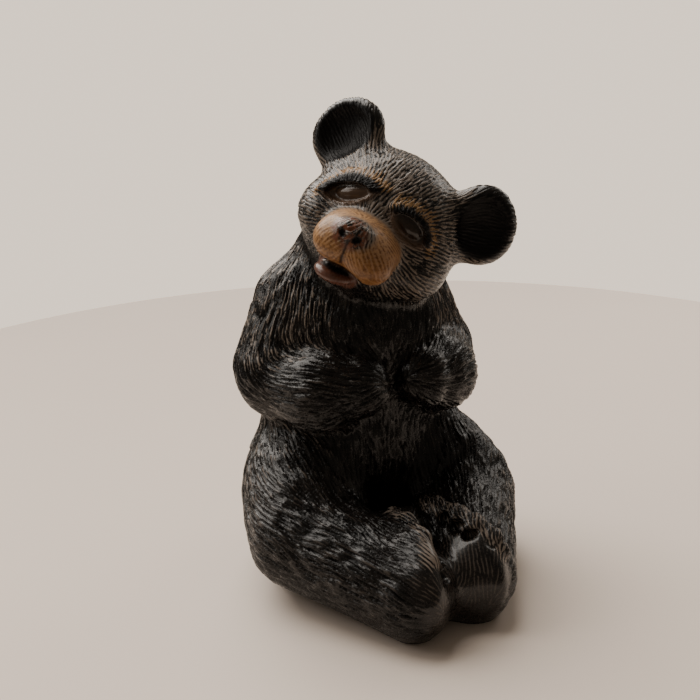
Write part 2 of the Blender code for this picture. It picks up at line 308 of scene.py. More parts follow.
@dataclass(frozen=True)
class Leg:
    """A folded leg with its foot turned in, sole up, and toes under a cuff of fur."""

    side: Side
    knee: Point
    ankle: Point
    sole: Point
    cuff: tuple[Point, ...]
    toes: tuple[Point, ...]
    hip: Point = (32.5, -8, 36)
    thigh_width: float = 50.0
    knee_width: float = 48.0
    ankle_width: float = 33.0
    sole_width: float = 19.0
    toe_width: float = 7.7
    cuff_width: float = 6.0
    crease: tuple[Point, ...] = ((4.0, -66, 29.5), (5.5, -79, 27.0), (9.5, -80.5, 30.0))

    def sole_pad(self) -> Mass:
        """The bare pad of the sole."""
        return Mass(self.sole, (self.sole_width / 2, 28, 17.5), 4, way=(7, 12, 0), side=self.side)

    def tuft_row(self) -> list[Mass]:
        """The cuff of fur over the toes."""
        return chain(self.cuff, self.cuff_width / 2, 3, self.side)

    def toe_hollows(self) -> list[Mass]:
        """The dark hollows between the toes."""
        toe = self.toe_width / 2
        radii = (toe, toe * 0.85, toe * 0.7)
        return [Mass(place, radii, 1.6, side=self.side, hollow=True) for place in self.toes]

    def masses(self) -> list[Mass]:
        """Thigh, shin, seat and foot."""
        shin, heel = self.knee_width / 2 - 0.5, self.ankle_width / 2
        return [
            Mass(self.hip, (self.thigh_width / 2, 32, 30), 10, way=(14, 16, 0), side=self.side),
            Mass(self.knee, (shin, heel), 10, end=self.ankle, side=self.side),
            Mass((33, -14, shin - 10.5), (shin - 4.5, 12), 6, end=(14, -76, 9), side=self.side),
            self.sole_pad(),
            *self.tuft_row(),
            *self.toe_hollows(),
            *chain(self.crease, 1.0, 1.2, self.side, hollow=True),
        ]


RIGHT_LEG = Leg(
    side=Side.RIGHT,
    knee=(39, -28, 26),
    ankle=(16, -78.5, 17.5),
    sole=(12.5, -69, 23),
    cuff=((9, -50, 37), (8.5, -62, 38.5), (9, -74, 37), (11, -84, 33)),
    toes=((3.5, -66, 32), (3.5, -73, 31.5), (5, -80, 29.5), (8, -87, 27)),
)
LEFT_LEG = Leg(
    side=Side.LEFT,
    knee=(39, -26, 28),
    ankle=(15, -74, 16.5),
    sole=(12.5, -66, 21.5),
    cuff=((10, -38, 33), (10, -52, 37.5), (13, -64, 38.5), (17, -72, 36.5), (20.5, -79, 33), (22, -83, 29)),
    toes=((8.5, -62, 36), (9.5, -69.5, 35.5), (12.5, -75.5, 33.5), (15.5, -81, 30.5)),
)


@dataclass(frozen=True)
class Skull:
    """Cranium, cheeks and jaw, in the head's own frame, where the face looks towards -Y."""

    width: float = 63.0
    cheek_width: float = 67.0

    def masses(self) -> list[Mass]:
        """Its lumps of clay."""
        return [
            Mass((0, 5, -2), (self.width / 2, 28, 26), 1),
            Mass((self.cheek_width / 2 - 14.5, -4, -13), (14.5, 17, 13), 8, side=Side.BOTH),
            Mass((0, -12, -22), (17, 16, 12), 8),
        ]


@dataclass(frozen=True)
class Eye:
    """A half-closed eye: its ball in a socket, a heavy band of lashes over it, and a thin lower lid.

    Args:
        side: its side of the head.
        place: the middle of its opening, on the skull.
        tilt: how far its outer corner hangs, in degrees.
        width: of the opening.
        height: of the opening.
        band: breadth of the band of lashes.
        pale: how pale its ball is.
    """

    side: Side
    place: Point
    tilt: float
    width: float
    height: float
    band: float
    pale: float
    yaw: float = 24.0
    lid_rise: float = 2.0

    @property
    def way(self) -> Point:
        """Yaw, nod and tilt of the opening."""
        return (self.yaw, 0.0, self.tilt)

    @cached_property
    def frame(self) -> Array:
        """Across, into and up the opening, as columns."""
        return np.array(turn(self.way))

    def inward(self, depth: float) -> Point:
        """The point this far in from the middle of the opening."""
        return tuple(np.array(self.place) + self.frame[:, 1] * depth)

    def masses(self) -> list[Mass]:
        """Socket and ball."""
        across, up = self.width / 2, self.height / 2
        socket = (across + 1.2, 4.2, up + 1.4)
        ball = (across, 5.0, up)
        return [
            Mass(self.inward(-2.0), socket, 1.5, way=self.way, side=self.side, hollow=True),
            Mass(self.inward(4.4), ball, 0.8, way=self.way, side=self.side),
        ]

    def chart(self, face: Array) -> tuple[Array, Array, Array, Array]:
        """Where points lie by the opening.

        Args:
            face: points in the head's frame.

        Returns:
            Outward and upward in half widths of the opening, the distance out from its rim, and 1 in front of it.
        """
        ball = (fold(face, self.side) - np.array(self.place)) @ self.frame
        across, up = ball[:, 0] * 2 / self.width, ball[:, 2] * 2 / self.height
        ring = np.hypot(across, up)
        out = (ring - 1) * np.hypot(ball[:, 0], ball[:, 2]) / (ring + 1e-6)
        front = rise(ball[:, 1], 9.0, 5.0) * rise(face[:, 0] * self.side.value, 0.0, 1.5)
        return across, up, out, front

    def lid(self, face: Array) -> Array:
        """Rise of the band of the upper lid and of the lower lid's rim."""
        _, up, out, front = self.chart(face)
        upper = rise(out, -1.4, 0.3) * rise(out, self.band + 3.5, self.band * 0.5) * rise(up, -0.35, 0.35)
        lower = bell(out, 0.7, 0.9) * rise(up, 0.2, -0.4)
        return (upper + 0.3 * lower) * self.lid_rise * front


RIGHT_EYE = Eye(side=Side.RIGHT, place=(15.6, -19.2, 1.2), tilt=33.0, width=18.4, height=7.4, band=4.0, pale=0.5)
LEFT_EYE = Eye(side=Side.LEFT, place=(12.4, -20.6, 3.0), tilt=15.0, width=16.4, height=8.4, band=2.3, pale=0.05)


@dataclass(frozen=True)
class Muzzle:
    """The muzzle with its two lobes, nose, nostrils, split lip, mouth and lower lip."""

    width: float = 33.0
    nose_width: float = 15.0
    nostril_width: float = 3.0
    mouth_width: float = 22.0
    lip_width: float = 16.0

    def bulk(self) -> list[Mass]:
        """The muzzle and its lobes."""
        half = self.width / 2
        return [
            Mass((-0.5, -24, -11.5), (half, 15, 11), 4, way=(0, 0, -4.5)),
            Mass((half * 0.42, -31, -14.2), (half * 0.6, 8.5, 8.2), 4, way=(0, 0, 10), side=Side.BOTH),
        ]

    def nose(self) -> Mass:
        """The nose."""
        half = self.nose_width / 2
        return Mass((-2.4, -35.6, -7.6), (half, 5.5, half * 0.72), 3, way=(0, 0, -4.5))

    def mouth(self) -> Mass:
        """The open mouth."""
        return Mass((-1.5, -34, -24.0), (self.mouth_width / 2, 9, 2.8), 1.2, way=(0, -10, -8), hollow=True)

    def lip(self) -> Mass:
        """The lower lip."""
        return Mass((-2.5, -26.5, -27.0), (self.lip_width / 2, 9, 3.6), 1.5, way=(0, 0, -8))

    def nostrils(self) -> list[Mass]:
        """Both nostrils."""
        half = self.nostril_width / 2
        return [
            Mass((x, -40.6, z), (half, 1.6, half * 0.7), 1, way=(0, 0, tilt), hollow=True)
            for x, z, tilt in ((-5.7, -8.6, 30), (0.3, -7.9, -35))
        ]

    def split(self) -> list[Mass]:
        """The groove from the nose to the mouth."""
        places = ((-2.2, -41.0, -10.5), (-1.5, -39.7, -14.5), (-1.2, -38.7, -17.0), (-0.9, -36.2, -19.8))
        return chain(places, 0.55, 0.6, Side.LEFT, hollow=True)

    def masses(self) -> list[Mass]:
        """All of it, in the order in which it is laid."""
        return [*self.bulk(), self.nose(), self.mouth(), self.lip(), *self.nostrils(), *self.split()]


@dataclass(frozen=True)
class Ears:
    """Round ears with a thick rim round a hollow."""

    width: float = 33.0
    hollow_width: float = 27.0
    way: Point = (15.0, 0.0, 62.0)

    def shell(self) -> Mass:
        """The whole ear."""
        half = self.width / 2
        return Mass((33, 6, 15.5), (half, 7.5, half * 0.86), 8, way=self.way, side=Side.BOTH)

    def hollow(self) -> Mass:
        """The inside of the ear."""
        half = self.hollow_width / 2
        return Mass((35.5, -1.8, 16.5), (half, 7.2, half * 0.8), 2, way=self.way, side=Side.BOTH, hollow=True)

    def masses(self) -> list[Mass]:
        """The ear and its hollow."""
        return [self.shell(), self.hollow()]


@dataclass(frozen=True)
class Head:
    """The head, turned to the cub's right and leaning to its left."""

    place: Point = (6.0, -24.0, 156.0)
    way: Point = (-39.5, -2.0, 34.0)
    skull: Skull = field(default_factory=Skull)
    eyes: tuple[Eye, Eye] = (RIGHT_EYE, LEFT_EYE)
    muzzle: Muzzle = field(default_factory=Muzzle)
    ears: Ears = field(default_factory=Ears)

    @cached_property
    def frame(self) -> Array:
        """The head's own axes as columns."""
        return np.array(turn(self.way))

    def face(self, points: Array) -> Array:
        """The points in the head's own frame: eye line at z = 0, face towards -Y."""
        return (points - np.array(self.place)) @ self.frame

    @cached_property
    def masses(self) -> list[Mass]:
        """Its lumps of clay."""
        parts = (self.skull, *self.eyes, self.muzzle, self.ears)
        return [mass for part in parts for mass in part.masses()]

    def lids(self, face: Array) -> Array:
        """Rise of the lids of both eyes."""
        return sum(eye.lid(face) for eye in self.eyes)


class Grid:
    """Values on a box of grid points, read in between by trilinear weights."""

    def __init__(self, values: Array, origin: Point, spacing: float, wraps: bool = False) -> None:
        """Keeps the values, which lie along the first three axes."""
        self.values, self.origin, self.spacing, self.wraps = values, np.array(origin), spacing, wraps

    def read(self, points: Array) -> Array:
        """The values at points."""
        place = (points - self.origin) / self.spacing
        low = np.floor(place).astype(int)
        share = place - low
        sides = self.values.shape[:3]
        ends = []
        for axis, side in enumerate(sides):
            both = (low[:, axis], low[:, axis] + 1)
            ends.append([at % side if self.wraps else np.clip(at, 0, side - 1) for at in both])
        flat = self.values.reshape(-1, self.values.shape[3])
        total = np.zeros((len(points), flat.shape[1]))
        for i, j, k in np.ndindex(2, 2, 2):
            at = (ends[0][i] * sides[1] + ends[1][j]) * sides[2] + ends[2][k]
            weight = np.abs(1 - i - share[:, 0]) * np.abs(1 - j - share[:, 1]) * np.abs(1 - k - share[:, 2])
            total += flat[at] * weight[:, None]
        return total


def random_grid(pitch: float, seed: int, values: int = 1) -> Grid:
    """A grid of random values that repeats without end."""
    rough = np.random.default_rng(seed).standard_normal((48, 48, 48, values))
    return Grid(rough, (0, 0, 0), pitch, wraps=True)


@dataclass(frozen=True)
class Locks:
    """Long soft locks of fur.

    Args:
        pitch: distance from lock to lock.
        reach: length of a lock.
        depth: depth of the hollow between two locks.
        seed: of the random values that place them.
    """

    pitch: float
    reach: float
    depth: float
    seed: int

    def spread(self, points: Array, lie: Grid) -> Array:
        """Random values smeared along the lie of the fur, so that they form long narrow streaks."""
        noise = random_grid(self.pitch, self.seed)
        step = self.pitch * 0.4
        count = max(2, round(self.reach / 2 / step))
        total = noise.read(points)
        for sense in (step, -step):
            place = points
            for k in range(1, count + 1):
                place = place + sense * lie.read(place)
                total = total + noise.read(place) * (1 - k / (count + 1))
        return ((total - total.mean()) / total.std())[:, 0]


@dataclass(frozen=True)
class Comb:
    """A layer of strokes cut one by one with a pointed tool, each kept clear of the ones before it.

    Args:
        gap: usual distance from stroke to stroke.
        reach: longest stroke.
        width: half the width of a groove.
        depth: depth of a groove.
        seed: of the order in which strokes are tried.
        step: distance from point to point of a stroke.
        tried: length of all the strokes that are tried.
    """

    gap: float
    reach: float
    width: float
    depth: float
    seed: int
    step: float = 0.5
    tried: float = 1.2e6

    def trace(self, starts: Array, lie: Grid) -> Array:
        """Paths along the lie of the fur, through starts in their middle, as strokes by steps by 3."""
        count = round(self.reach / 2 / self.step)
        path = [starts]
        for sense in (1, -1):
            place = starts
            for _ in range(count):
                place = place + sense * self.step * unit(lie.read(place), 0.05)
                path.insert(len(path) if sense > 0 else 0, place)
        return np.stack(path, 1)

    def cut(self, points: Array, where: Array, lie: Grid) -> tuple[Array, Array]:
        """Choose the strokes of this layer.

        Args:
            points: places where a stroke may start.
            where: share from 0 to 1 of the strokes that each place keeps.
            lie: the lie of the fur.

        Returns:
            The steps of all strokes, and at each the way of the stroke and the share of its depth.
        """
        random = np.random.default_rng(self.seed)
        tries = random.permutation(np.nonzero(where > random.random(len(where)))[0])
        tries = tries[: int(self.tried / self.reach)]
        paths = self.trace(points[tries], lie)
        cell = self.gap * 0.25
        cells = np.floor((paths + ROOM_EDGE) / cell).astype(int)
        taken = np.zeros([int(side / cell) for side in ROOM], bool)
        around = np.stack(np.meshgrid(*[(-1, 0, 1)] * 3, indexing="ij"), -1).reshape(1, -1, 3)
        middle = paths.shape[1] // 2
        strokes, cuts = [], []
        least = int(paths.shape[1] * 0.3)
        lengths = random.uniform(0.45, 1.0, len(paths))
        depths = random.uniform(0.6, 1.15, len(paths))
        for path, at, share, depth in zip(paths, cells, lengths, depths):
            blocked = taken[at[:, 0], at[:, 1], at[:, 2]]
            if blocked[middle]:
                continue
            half = int(middle * share)
            before, after = np.nonzero(blocked[:middle])[0], np.nonzero(blocked[middle:])[0]
            start = max(middle - half, before[-1] + 1 if len(before) else 0)
            end = min(middle + half, middle + after[0] - 1 if len(after) else len(path) - 1)
            if end - start < least:
                continue
            marks = (at[start : end + 1, None] + around).reshape(-1, 3)
            taken[marks[:, 0], marks[:, 1], marks[:, 2]] = True
            kept = path[start : end + 1]
            way = np.gradient(kept, axis=0)
            taper = np.sqrt(np.sin(np.linspace(0.15, math.pi - 0.15, len(kept))))
            strokes.append(np.concatenate([kept, unit(way)], 1))
            cuts.append(taper * depth)
        return np.concatenate(strokes), np.concatenate(cuts)

    def grooves(self, points: Array, steps: Array, cuts: Array) -> Array:
        """How deep each point lies in the nearest groove, from 0 to about 1."""
        tree = KDTree(len(steps))
        for index, place in enumerate(steps[:, :3].tolist()):
            tree.insert(place, index)
        tree.balance()
        nearest = np.array([tree.find(place)[1] for place in points.tolist()])
        offset = points - steps[nearest, :3]
        along = (offset * steps[nearest, 3:]).sum(axis=1)
        beyond = np.maximum(np.abs(along) - self.step * 0.6, 0)
        distance = np.sqrt(np.maximum((offset * offset).sum(axis=1) - along * along, 0) + beyond * beyond)
        return bell(distance, 0, self.width) * cuts[nearest]


@dataclass(frozen=True)
class Figure:
    """The whole cub: its form, its carving, its mesh and its masks."""

    trunk: Trunk = field(default_factory=Trunk)
    arms: Arms = field(default_factory=Arms)
    legs: tuple[Leg, Leg] = (RIGHT_LEG, LEFT_LEG)
    head: Head = field(default_factory=Head)
    bare_rim: float = 8.0
    rough_spacing: float = 1.3
    fine_spacing: float = 0.42
    triangles: int = 196000
    head_favour: float = 0.3
    wander_pitch: float = 9.0
    wander_seed: int = 5
    locks: Locks = Locks(pitch=7.0, reach=30.0, depth=0.7, seed=11)
    body_comb: Comb = Comb(gap=1.8, reach=22.0, width=0.58, depth=1.25, seed=21)
    head_comb: Comb = Comb(gap=1.3, reach=10.0, width=0.36, depth=0.55, seed=31)

    @cached_property
    def body(self) -> list[Mass]:
        """The masses of all but the head."""
        return [*self.trunk.masses(), *(m for leg in self.legs for m in leg.masses()), *self.arms.masses()]

    def form(self, points: Array, everywhere: bool = False) -> Array:
        """Distance from points to the surface of the bare form, which is cut off flat below."""
        face = self.head.face(points)
        head = sculpt(face, self.head.masses, everywhere) - self.head.lids(face)
        return np.maximum(join(sculpt(points, self.body, everywhere), head, 6), -points[:, 2])

    def slope(self, points: Array) -> Array:
        """The way in which the distance to the form grows."""
        reach = 0.3
        corners = np.array(((1, -1, -1), (-1, -1, 1), (-1, 1, -1), (1, 1, 1)), float)
        return sum(self.form(points + c * reach)[:, None] * c for c in corners) / (4 * reach)

    # The mesh

    def lay_masses(self) -> bpy.types.Object:
        """A rough figure of balls, fused."""
        bpy.ops.object.select_all(action="DESELECT")
        bpy.ops.mesh.primitive_uv_sphere_add(segments=24, ring_count=16, radius=1)
        obj = bpy.context.object
        obj.name = obj.data.name = NODE + "_glazed"
        corners = np.concatenate([vertices_of(obj), np.ones((len(obj.data.vertices), 1))], 1)
        faces = [list(face.vertices) for face in obj.data.polygons]
        head = Matrix.Translation(self.head.place) @ turn(self.head.way).to_4x4()
        balls = [ball for mass in self.body if not mass.hollow for ball in mass.balls()]
        balls += [head @ ball for mass in self.head.masses if not mass.hollow for ball in mass.balls()]
        points: list[list[float]] = []
        polygons: list[list[int]] = []
        for ball in balls:
            first = len(points)
            points += (corners @ np.array(ball).T)[:, :3].tolist()
            turned = -1 if ball.determinant() < 0 else 1
            polygons += [[first + i for i in face[::turned]] for face in faces]
        obj.data.clear_geometry()
        obj.data.from_pydata(points, [], polygons)
        apply(obj, "REMESH", mode="VOXEL", voxel_size=self.rough_spacing)
        return obj

    def press(self, obj: bpy.types.Object) -> None:
        """Press each vertex straight in until it meets the form, so that the hollows open."""
        points, normals = vertices_of(obj), vertices_of(obj, "normal")
        for _ in range(14):
            points -= normals * (0.8 * self.form(points))[:, None]
        place_vertices(obj, points)
        apply(obj, "REMESH", mode="VOXEL", voxel_size=self.rough_spacing)
        points, _ = self.settle(vertices_of(obj), 2)
        place_vertices(obj, points)
        apply(obj, "REMESH", mode="VOXEL", voxel_size=self.fine_spacing)

    def settle(self, points: Array, rounds: int = 1) -> tuple[Array, Array]:
        """Move points the shortest way onto the form.

        Args:
            points: close to the form.
            rounds: how often the way is found anew.

        Returns:
            The points on the form, and the outward normals there.
        """
        for _ in range(rounds):
            way = self.slope(points)
            steep = np.maximum((way * way).sum(1), 0.15)
            for _ in range(2):
                points = points - np.clip(self.form(points) / steep, -1.0, 1.0)[:, None] * way
        return points, unit(way)

    def thin_out(self, obj: bpy.types.Object) -> None:
        """Fewer faces, with more of them left the nearer they are to the face."""
        points = vertices_of(obj)
        face = self.head.face(points) - np.array((0, -30, -10))
        weight = np.exp(-length(face) / 30)
        group = obj.vertex_groups.new(name="rest")
        levels = 8
        for level in range(levels + 1):
            at = np.nonzero(np.round(weight * levels) == level)[0]
            group.add(at.tolist(), 1 - level / levels, "REPLACE")
        ratio = self.triangles / len(obj.data.polygons)
        apply(obj, "DECIMATE", ratio=ratio, vertex_group="rest", vertex_group_factor=self.head_favour)
        obj.vertex_groups.clear()
        points = vertices_of(obj)
        points[:, 2] = np.where(points[:, 2] < 0.2, 0.0, points[:, 2])
        place_vertices(obj, points)

    # The coat

    def flow(self, points: Array) -> Array:
        """The way the fur lies: down the trunk, along arms and legs, and back from the face."""
        folded = fold(points, Side.BOTH)
        unfold = np.where(points[:, :1] < 0, (-1, 1, 1), (1, 1, 1))
        face = self.head.face(points)
        back = unit(face - np.array((-2, -30, -6)), 1e-6)
        for eye in self.head.eyes:
            _, up, out, front = eye.chart(face)
            middle = np.array(eye.place) * (eye.side.value, 1, 1)
            ring = rise(out, 5.5, 1.5) * front * rise(up, -0.6, 0.1)
            back = unit(back + 2.5 * unit(face - middle) * ring[:, None])
        upper, fore, paw = self.arms.masses()
        arms = self.arms
        leg = self.legs[1]
        ways = (
            (sculpt(points, self.trunk.masses(), True), np.array((0, -0.05, -1)) + folded * 0),
            (upper.to(points), unfold * direction(arms.shoulder, arms.elbow)),
            (fore.to(points), unfold * direction(arms.bend, arms.wrist)),
            (paw.to(points), unfold * direction(arms.wrist, arms.paw)),
            (Mass(leg.hip, (25, 32, 30), 1).distance(folded), unfold * direction((42, -4, 44), leg.knee)),
            (Mass(leg.knee, (24, 16), 1, end=leg.ankle).distance(folded), unfold * direction(leg.knee, leg.ankle)),
            (Mass((0, 0, -2), (45, 34, 28), 1).distance(face), back @ self.head.frame.T),
        )
        total = sum(np.exp(-np.clip(distance, -6, 60) / 2.5)[:, None] * way for distance, way in ways)
        return unit(total)

    def coat(self, wave: float) -> Grid:
        """The lie of the fur along the surface, on a coarse grid round the figure.

        Args:
            wave: how far the strokes wander off their way.

        Returns:
            A grid of directions.
        """
        spacing, low, high = 3.0, (-74, -110, -10), (74, 60, 214)
        sides = [np.arange(a, b, spacing) for a, b in zip(low, high)]
        points = np.stack(np.meshgrid(*sides, indexing="ij"), -1)
        shape = points.shape
        points = points.reshape(-1, 3)
        field_of = self.form(points, everywhere=True).reshape(shape[:3])
        normal = unit(np.stack(np.gradient(field_of, spacing), -1).reshape(-1, 3))
        way = self.flow(points) + wave * random_grid(self.wander_pitch, self.wander_seed, values=3).read(points)
        way -= (way * normal).sum(1)[:, None] * normal
        return Grid(unit(way, 0.2).reshape(shape), low, spacing)

    def furred(self, points: Array) -> Array:
        """1 where the surface carries fur, 0 on the muzzle, eyes, soles, bottom rim and between the limbs."""
        face = self.head.face(points)
        snout = sculpt(face, self.head.muzzle.bulk(), True) - 0.5
        mouth = np.minimum(self.head.muzzle.mouth().to(face), self.head.muzzle.lip().to(face)) - 0.6
        snout = np.where(face[:, 1] < -16, np.minimum(snout, mouth), 9.0)
        opening = np.min([np.where(f > 0.5, out + 1.0, 9.0) for _, _, out, f in self.charts(face)], axis=0)
        sole = Mass((8, -84, 22), (12, 20, 15), 1, side=Side.BOTH)
        smooth = np.minimum(np.minimum(snout, opening) * 2.5, sole.to(points) * 0.8)
        lap = (np.abs(points[:, 0]) < 5) & (points[:, 1] < -24) & (points[:, 2] < 48)
        smooth = np.where(lap, np.minimum(smooth, np.abs(points[:, 0]) - 1), smooth)
        ear = rise(self.head.ears.shell().to(face), 3.0, 0.0)
        return np.clip(smooth / 4, 0, 1) * np.clip(points[:, 2] / self.bare_rim - 0.4, 0, 1) * (1 - 0.55 * ear)

    def charts(self, face: Array) -> list[tuple[Array, Array, Array, Array]]:
        """Where points lie by each eye."""
        return [eye.chart(face) for eye in self.head.eyes]

    def headness(self, points: Array) -> Array:
        """1 on the head and 0 on the body, with a soft edge at the neck."""
        face = self.head.face(points)
        return rise(Mass((0, 0, -2), (44, 40, 31), 1).distance(face), 5.0, -3.0)

    def carve(self, points: Array, normals: Array) -> tuple[Array, Array]:
        """Cut in the locks and the strokes.

        Args:
            points: on the bare form.
            normals: outward, one for each point.

        Returns:
            The carved points, and how little each is cut, from 0 in a groove to 1.
        """
        furred = self.furred(points)
        head = self.headness(points)
        locks = self.locks.spread(points, self.coat(0.0))
        cut = (bell(locks, 0, 0.55) - 0.45) * self.locks.depth * (1 - 0.7 * head)
        wavy = self.coat(0.2)
        groove = np.zeros(len(points))
        for comb, where in ((self.body_comb, 1 - head), (self.head_comb, head)):
            steps, cuts = comb.cut(points, where * (furred > 0.1), wavy)
            steps[:, :3], _ = self.settle(steps[:, :3])
            at = np.nonzero(where > 0)[0]
            found = comb.grooves(points[at], steps, cuts)
            LOG.info("comb of %.2f: %d steps", comb.gap, len(steps))
            groove[at] += found * where[at]
            cut[at] += (found - 0.3) * comb.depth * where[at]
        cut *= furred * np.clip(normals[:, 2] + 1.6, 0, 1)
        carved = points - cut[:, None] * normals
        carved[:, 2] = np.where(carved[:, 2] < 0.35, 0.0, carved[:, 2])
        return carved, 1 - groove * furred

    # The masks

    def paint(self, points: Array, normals: Array) -> dict[Mask, Array]:
        """Where each finish lies, painted highlights and painted shade among them.

        Args:
            points: on the bare form.
            normals: outward, one for each point.

        Returns:
            A mask from 0 to 1 for each finish.
        """
        face = self.head.face(points)
        head = self.headness(points)
        muzzle, ears = self.head.muzzle, self.head.ears
        bulk = sculpt(face, muzzle.bulk(), True)
        snout = rise(bulk, 0.9, -0.6) * rise(face[:, 1], -17.0, -21.0) * rise(face[:, 2], -26.0, -23.0)
        plan = length((face - np.array(muzzle.lip().place))[:, :2] / (muzzle.lip_width / 2, 9))
        lip = rise(muzzle.lip().to(face), 2.4, 1.2) * rise(face[:, 2], -20.5, -22.5) * rise(plan, 0.7, 0.84)
        mouth = rise(muzzle.mouth().to(face), 0.7, -0.2) * rise(face[:, 1], -20.0, -24.0) * (1 - lip)
        nose = rise(Mass((-4, -38.5, -7.6), (7.2, 7, 5.8), 1).to(face), 1.5, -0.8)
        nostril = rise(sculpt(face, filled(muzzle.nostrils()), True), 0.8, 0.0)
        split = rise(sculpt(face, filled(muzzle.split()), True), 0.45, 0.0)
        inside = rise(ears.hollow().to(face), 2.4, 1.0) * rise(ears.shell().to(face), 4.0, 1.0)
        lash, gold, ball, lid = (np.zeros(len(points)) for _ in range(4))
        for eye, (across, up, out, front) in zip(self.head.eyes, self.charts(face)):
            band = rise(out, -0.6, 0.3) * rise(out, eye.band + 0.8, eye.band - 0.8)
            lash = np.maximum(lash, band * rise(up, -0.3, 0.2) * front)
            tips = bell(out, eye.band + 1.5, 2.3) * rise(up + 0.5 * np.maximum(across, 0), -0.2, 0.5)
            gold = np.maximum(gold, 0.8 * tips * front)
            ball = np.maximum(ball, rise(out, 0.35, -0.25) * front)
            low_lid = bell(out, 0.3, 1.6) * rise(up, 0.1, -0.5)
            # Pale lower part of the ball; its top is kept dark as painted shadow of the lash band
            pale_below_lash_shadow = eye.pale * rise(out, 0.0, -1.2) * rise(up, 0.75, 0.0)
            lid = np.max([lid, low_lid * front, pale_below_lash_shadow * front], axis=0)
        chin = rise(face[:, 2], -20.0, -31.0)
        brow = bell(length(face - np.array((-6, -22, 14))), 0, 24)
        # Less grey on the chin, and none in the ear hollows, which hold painted shade
        greyed = (0.42 + 0.28 * brow) * (1 - chin) * (1 - inside)
        # Grey brushed tips on the head; on the body the grey is partly painted highlights
        brush = head * greyed + (1 - head) * self.body_brush_and_highlights(points, normals)
        # Painted shade in the nostrils, the groove under the nose, the mouth and the ear hollows, with the black
        # lash bands
        soot = np.max([nostril, split * 0.9, mouth * 0.9, inside, lash], axis=0)
        # Deeper, redder tan towards the lower part of the muzzle and the cub's left
        rust = rise(face[:, 0] - face[:, 2], -8, 34) + 0.5 * rise(face[:, 2], -14, -24)
        return {
            Mask.BRUSH: brush * (1 - lash),
            Mask.GOLD: gold,
            Mask.TAN: snout,
            Mask.NOSE: nose,
            Mask.SOOT: soot,
            Mask.LIP: lip,
            Mask.EYE: ball,
            Mask.LID: lid,
            Mask.RUST: np.clip(rust, 0, 1) * snout,
            Mask.PAD: 1 - self.furred(points),
        }

    def body_brush_and_highlights(self, points: Array, normals: Array) -> Array:
        """How much grey is laid on the body: brushed tips, and painted highlights where light catches its ridges."""
        shoulder = Mass((30, 0, 112), (26, 26, 34), 1, side=Side.BOTH)
        flank = Mass((40, 10, 50), (24, 40, 44), 1, side=Side.BOTH)
        # Grey on the shoulders and flanks: partly brushed tips, partly painted highlights where light catches the
        # ridges
        brush = 0.04 + 0.28 * rise(shoulder.to(points), 6, -6) + 0.05 * rise(flank.to(points), 8, -8)
        for leg in self.legs:
            cuff = np.min([tuft.to(points) for tuft in leg.tuft_row()], axis=0)
            brush += 0.5 * rise(cuff, 3.0, 0.0)
        # Painted light from above: more grey on faces that look up
        brush *= 0.55 + 0.45 * np.clip(normals[:, 2] + 0.6, 0, 1)
        # Painted shade under the chin: less grey on the upper chest
        brush *= 1 - 0.8 * bell(length(points - np.array((0, -22, 126))), 0, 20)
        # Painted shade between the legs: less grey on the belly; none low down near the base
        belly = Mass((0, -36, 60), (20, 14, 34), 1)
        return brush * (0.3 + 0.7 * rise(belly.to(points), -4, 8)) * rise(points[:, 2], 5, 16)

    # The whole

    def build(self) -> bpy.types.Object:
        """The carved and masked figure, set into the solid's box."""
        obj = self.lay_masses()
        LOG.info("masses laid: %d vertices", len(obj.data.vertices))
        self.press(obj)
        LOG.info("pressed: %d vertices", len(obj.data.vertices))
        points, normals = self.settle(vertices_of(obj))
        LOG.info("settled")
        carved, ridge = self.carve(points, normals)
        LOG.info("carved")
        place_vertices(obj, carved)
        set_mask(obj, Mask.RIDGE, ridge)
        apply(obj, "TRIANGULATE")
        self.thin_out(obj)
        LOG.info("thinned out")
        points, normals = vertices_of(obj), vertices_of(obj, "normal")
        for mask, values in self.paint(points, normals).items():
            set_mask(obj, mask, values)
        across = np.cross(normals, self.coat(0.15).read(points))
        attribute = obj.data.attributes.new(ACROSS, "FLOAT_VECTOR", "POINT")
        attribute.data.foreach_set("vector", across.astype(np.float32).ravel())
        fit(obj)
        obj.data.polygons.foreach_set("use_smooth", np.ones(len(obj.data.polygons), bool))
        return obj


def direction(start: Point, end: Point) -> Array:
    """The way from start to end, at length 1."""
    return np.array((Vector(end) - Vector(start)).normalized())


def vertices_of(obj: bpy.types.Object, what: str = "co") -> Array:
    """The vertices' places or normals, a row each."""
    found = np.empty(len(obj.data.vertices) * 3, np.float32)
    obj.data.vertices.foreach_get(what, found)
    return found.reshape(-1, 3).astype(float)


def place_vertices(obj: bpy.types.Object, points: Array) -> None:
    """Put the vertices at points."""
    obj.data.vertices.foreach_set("co", points.astype(np.float32).ravel())
    obj.data.update()


def set_mask(obj: bpy.types.Object, mask: Mask, values: Array) -> None:
    """Keep a mask on the vertices."""
    attribute = obj.data.attributes.new(mask.value, "FLOAT", "POINT")
    attribute.data.foreach_set("value", values.astype(np.float32))


def apply(obj: bpy.types.Object, kind: str, **settings: object) -> None:
    """Give obj one modifier of a kind, and apply it with its settings."""
    modifier = obj.modifiers.new(kind.lower(), kind)
    for name, value in settings.items():
        setattr(modifier, name, value)
    bpy.context.view_layer.objects.active = obj
    bpy.ops.object.modifier_apply(modifier=modifier.name)


def fit(obj: bpy.types.Object) -> None:
    """Bring the figure from shares to metres, over the middle of its solid and as tall."""
    low, high = (np.array(corner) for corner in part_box(NODE))
    points = vertices_of(obj)
    points *= (high[2] - low[2]) / points[:, 2].max()
    middle = (points.min(axis=0) + points.max(axis=0)) / 2
    points[:, :2] += ((low + high) / 2 - middle)[:2]
    place_vertices(obj, points)


Socket = bpy.types.NodeSocket


